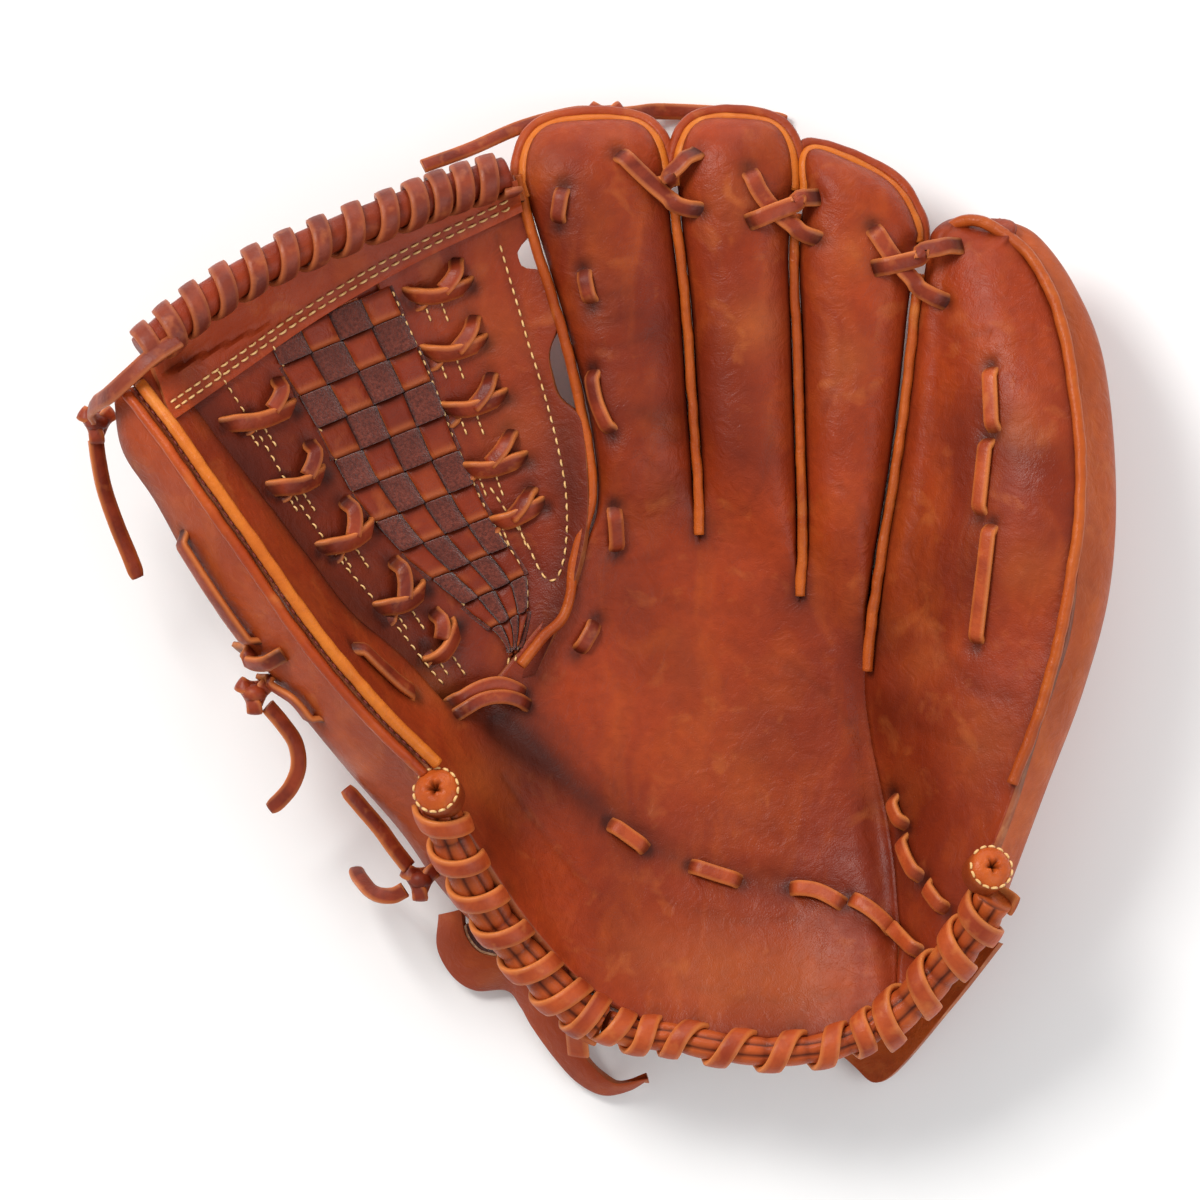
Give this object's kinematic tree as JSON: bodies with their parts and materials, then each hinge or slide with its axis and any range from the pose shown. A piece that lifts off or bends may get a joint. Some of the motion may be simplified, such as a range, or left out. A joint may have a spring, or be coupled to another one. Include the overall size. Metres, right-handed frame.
{
  "type": "baseball glove",
  "caption": "Open-backed fielder's glove for the left hand with a basket-weave web, laced heel and free lace ends, lying on its back with the palm up.",
  "frame": {"origin": "middle of the glove's plan outline, on the surface it rests on", "axes": "+Z out of the palm, +Y towards the finger tips, +X towards the little finger"},
  "size_m": [0.36, 0.3486, 0.1153],
  "materials": {
    "palm_leather": "oiled semi-gloss",
    "back_leather": "oiled semi-gloss",
    "web_leather": "semi-gloss",
    "welt_leather": "semi-gloss",
    "lace_rawhide": "satin",
    "lining_leather": "matte",
    "pad_felt": "matte"
  },
  "bodies": {
    "hand": {"hand_back": "back_leather", "hand_heel_lace": "lace_rawhide", "hand_heel_roll": "palm_leather", "index_back": "back_leather", "index_lace": "lace_rawhide", "index_middle_tip_lace": "lace_rawhide", "index_middle_welt": "welt_leather", "index_tip_binding": "welt_leather", "index_tip_knot": "lace_rawhide", "index_tip_tail": "lace_rawhide", "index_web_welt": "welt_leather", "middle_back": "back_leather", "middle_ring_tip_lace": "lace_rawhide", "middle_ring_welt": "welt_leather", "middle_tip_binding": "welt_leather", "palm_crease_lace": "lace_rawhide", "palm_leather": "palm_leather", "palm_lining": "lining_leather", "palm_pad": "pad_felt", "ring_back": "back_leather", "ring_little_welt": "welt_leather", "ring_tip_binding": "welt_leather", "wrist_flap": "back_leather"},
    "thumb_side": {"thumb_palm_leather": "palm_leather", "thumb_back": "back_leather", "thumb_pad": "pad_felt", "thumb_welt": "welt_leather", "web_left_panel": "web_leather", "web_weave": "web_leather", "web_right_panel": "web_leather", "web_top_band": "web_leather", "web_top_roll": "web_leather", "web_wrap_lace": "lace_rawhide", "web_left_lace": "lace_rawhide", "web_right_lace": "lace_rawhide", "web_loop_lace": "lace_rawhide", "web_crotch_lace": "lace_rawhide", "thumb_heel_roll": "palm_leather", "thumb_heel_lace": "lace_rawhide", "thumb_heel_plug": "palm_leather", "web_loop_knot": "lace_rawhide", "thumb_lace_knot": "lace_rawhide", "wrist_lace_knot": "lace_rawhide", "web_loop_tail": "lace_rawhide", "thumb_lace_tail": "lace_rawhide", "wrist_lace_tail_upper": "lace_rawhide", "wrist_lace_tail_lower": "lace_rawhide", "thumb_outer_lace": "lace_rawhide"},
    "little_finger_side": {"little_palm_leather": "palm_leather", "little_back": "back_leather", "little_pad": "pad_felt", "little_welt": "welt_leather", "little_heel_plug": "palm_leather", "little_heel_roll": "palm_leather", "little_heel_lace": "lace_rawhide", "little_lace": "lace_rawhide", "ring_little_tip_lace": "lace_rawhide"},
    "wrist_strap": {"wrist_strap": "back_leather", "wrist_strap_lining": "lining_leather"}
  },
  "joints": [
    {"name": "thumb_fold", "type": "hinge", "parent": "hand", "child": "thumb_side", "pos_m": [0.0172, -0.143, 0.038], "axis": [-0.1364, 0.9898, 0.042], "range_deg": [-5, 40]},
    {"name": "little_finger_fold", "type": "hinge", "parent": "hand", "child": "little_finger_side", "pos_m": [0.105, 0, 0.04], "axis": [0, -1, 0], "range_deg": [-5, 35]},
    {"name": "wrist_strap_swing", "type": "hinge", "parent": "thumb_side", "child": "wrist_strap", "pos_m": [-0.056, -0.112, 0.016], "axis": [0.5031, -0.8642, 0], "range_deg": [-4, 14]}
  ]
}
